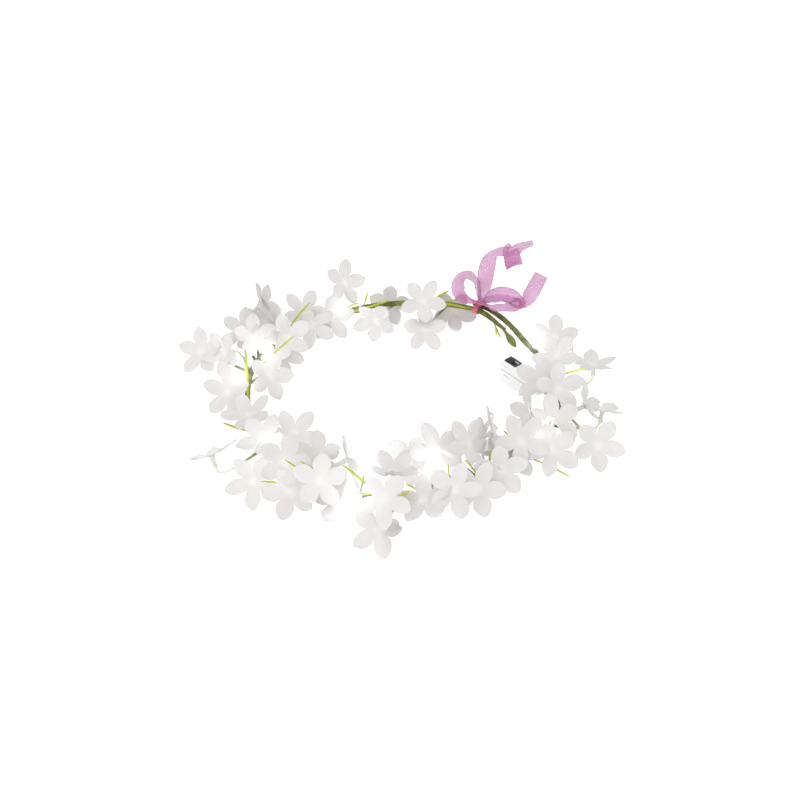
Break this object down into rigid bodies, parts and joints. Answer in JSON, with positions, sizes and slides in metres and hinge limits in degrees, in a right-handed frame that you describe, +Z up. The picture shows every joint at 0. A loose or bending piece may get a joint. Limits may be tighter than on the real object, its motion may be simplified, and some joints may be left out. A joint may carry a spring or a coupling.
{
  "type": "light-up flower headband",
  "caption": "Ring headband of pale cloth flowers on taped stem wire, with a string of small bulbs, a switched battery box inside the ring and an organza ribbon bow at the back.",
  "frame": {"origin": "the surface the headband lies on, under the middle of its outline", "axes": "+Z up out of the surface, +X to the right and +Y to the back, with the bow at the back right"},
  "size_m": [0.2576, 0.2252, 0.0524],
  "materials": {
    "petal_cloth": "matte, very pale lilac white",
    "green_tape": "matte olive green tape",
    "lead": "satin pale green",
    "bulb": "clear, lit cool white",
    "white_plastic": "satin white",
    "black_plastic": "satin black",
    "organza": "sheer mauve pink with a sheen"
  },
  "bodies": {
    "headband": {"stem": "green_tape", "light_wire": "lead", "light_bulb_01": "bulb", "light_bulb_02": "bulb", "light_bulb_03": "bulb", "light_bulb_04": "bulb", "light_bulb_05": "bulb", "light_bulb_06": "bulb", "light_bulb_07": "bulb", "light_bulb_08": "bulb", "light_bulb_09": "bulb", "light_bulb_10": "bulb", "light_bulb_11": "bulb", "battery_case": "white_plastic", "battery_lid": "white_plastic", "ribbon_bow": "organza", "flower_01": "petal_cloth", "flower_02": "petal_cloth", "flower_03": "petal_cloth", "flower_04": "petal_cloth", "flower_05": "petal_cloth", "flower_06": "petal_cloth", "flower_07": "petal_cloth", "flower_08": "petal_cloth", "flower_09": "petal_cloth", "flower_10": "petal_cloth", "flower_11": "petal_cloth", "flower_12": "petal_cloth", "flower_13": "petal_cloth", "flower_14": "petal_cloth", "flower_15": "petal_cloth", "flower_16": "petal_cloth", "flower_17": "petal_cloth", "flower_18": "petal_cloth", "flower_19": "petal_cloth", "flower_20": "petal_cloth", "flower_21": "petal_cloth", "flower_22": "petal_cloth", "flower_23": "petal_cloth", "flower_24": "petal_cloth", "flower_25": "petal_cloth", "flower_26": "petal_cloth", "flower_27": "petal_cloth", "flower_28": "petal_cloth", "flower_29": "petal_cloth", "flower_30": "petal_cloth", "flower_31": "petal_cloth", "flower_32": "petal_cloth", "flower_33": "petal_cloth", "flower_34": "petal_cloth", "flower_35": "petal_cloth", "flower_36": "petal_cloth", "flower_37": "petal_cloth", "flower_38": "petal_cloth", "flower_39": "petal_cloth", "flower_40": "petal_cloth", "flower_41": "petal_cloth", "flower_42": "petal_cloth", "flower_43": "petal_cloth"},
    "switch": {"switch_knob": "black_plastic"}
  },
  "joints": [
    {"name": "switch_slide", "type": "slide", "parent": "headband", "child": "switch", "axis": [0.6428, -0.766, 0], "range_m": [0, 0.0036]}
  ]
}
